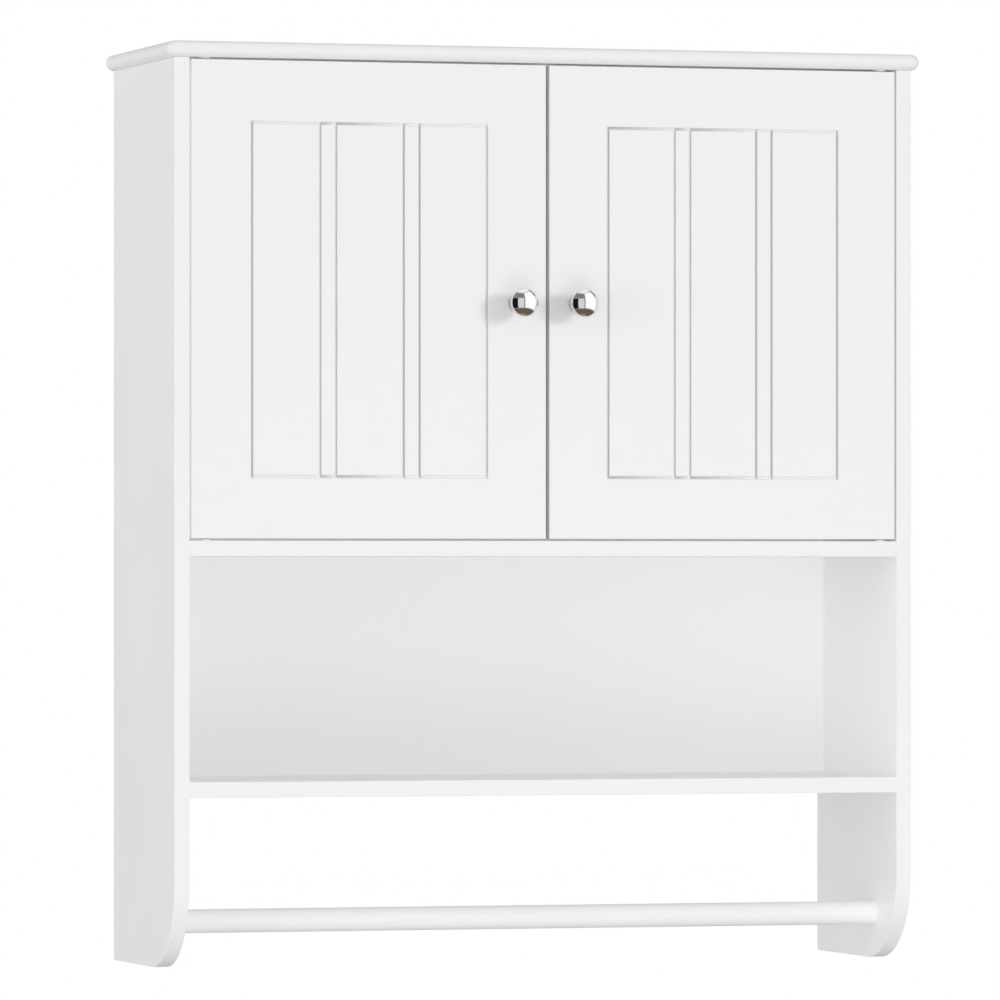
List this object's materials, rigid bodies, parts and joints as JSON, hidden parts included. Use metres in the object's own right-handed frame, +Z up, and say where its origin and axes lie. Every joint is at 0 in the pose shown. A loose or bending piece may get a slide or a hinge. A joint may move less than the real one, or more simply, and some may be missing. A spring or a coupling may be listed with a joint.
{
  "type": "wall cabinet",
  "caption": "Wall-hung cabinet with a pair of inset planked doors on edge pivots, a loose shelf inside, an open bay below and a towel bar between side panels with rounded feet.",
  "frame": {"origin": "on the wall plane, midway between the two wall screw holes in the hanging rail", "axes": "+Z up, +X to the right of someone facing the doors, +Y into the wall, so the doors face -Y"},
  "size_m": [0.6, 0.2125, 0.7],
  "materials": {
    "painted_board": "white satin paint on fibreboard",
    "painted_back": "white laminate on thin fibreboard",
    "polished_chrome": "polished chrome plate",
    "zinc_steel": "bright zinc plate",
    "cam_zinc": "die-cast zinc alloy",
    "white_plastic": "moulded nylon",
    "magnet": "dark ferrite",
    "dowel_wood": "plain beech"
  },
  "bodies": {
    "carcase": {"side_panel_left": "painted_board", "side_panel_right": "painted_board", "top_board": "painted_board", "middle_shelf": "painted_board", "lower_shelf": "painted_board", "loose_shelf": "painted_board", "back_panel": "painted_back", "hanging_rail": "painted_board", "lower_rail": "painted_board", "towel_bar": "painted_board", "pivot_bushes": "white_plastic", "catch_housing": "white_plastic", "catch_magnets": "magnet", "catch_screws": "zinc_steel", "shelf_pins": "zinc_steel", "cam_locks": "cam_zinc", "cam_bolts": "zinc_steel", "dowels": "dowel_wood", "back_panel_screws": "zinc_steel"},
    "left_door": {"door_left": "painted_board", "knob_left": "polished_chrome", "knob_screw_left": "zinc_steel", "pivot_pins_left": "zinc_steel", "strike_plate_left": "zinc_steel", "strike_screw_left": "zinc_steel"},
    "right_door": {"door_right": "painted_board", "knob_right": "polished_chrome", "knob_screw_right": "zinc_steel", "pivot_pins_right": "zinc_steel", "strike_plate_right": "zinc_steel", "strike_screw_right": "zinc_steel"}
  },
  "joints": [
    {"name": "left_door_swing", "type": "hinge", "parent": "carcase", "child": "left_door", "pos_m": [-0.2695, -0.181, -0.147], "axis": [0, 0, -1], "range_deg": [0, 110]},
    {"name": "right_door_swing", "type": "hinge", "parent": "carcase", "child": "right_door", "pos_m": [0.2695, -0.181, -0.147], "axis": [0, 0, 1], "range_deg": [0, 110]}
  ]
}
